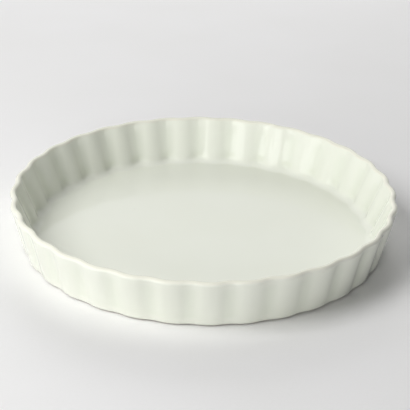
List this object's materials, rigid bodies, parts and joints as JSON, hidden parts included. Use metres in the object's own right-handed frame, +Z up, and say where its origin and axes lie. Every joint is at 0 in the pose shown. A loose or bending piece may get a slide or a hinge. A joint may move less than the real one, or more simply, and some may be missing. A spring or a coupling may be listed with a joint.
{
  "type": "fluted quiche dish",
  "caption": "Shallow round baking dish with a flaring fluted wall, a rounded lip and a flat floor, glazed all over but for the foot ring it stands on.",
  "frame": {"origin": "middle of the foot ring, on the surface that the dish stands on", "axes": "+Z up along the dish's axis, +X and +Y each through the crest of a ridge"},
  "size_m": [0.28, 0.28, 0.037],
  "materials": {
    "bare_clay": "matt, fine-grained fired clay, left bare on the foot ring",
    "ivory_glaze": "glossy pale ivory glaze, a little warmer and thinner on the lip"
  },
  "bodies": {
    "root": {"fired_body": "bare_clay", "glaze_coat": "ivory_glaze", "base_glaze": "ivory_glaze"}
  },
  "joints": []
}
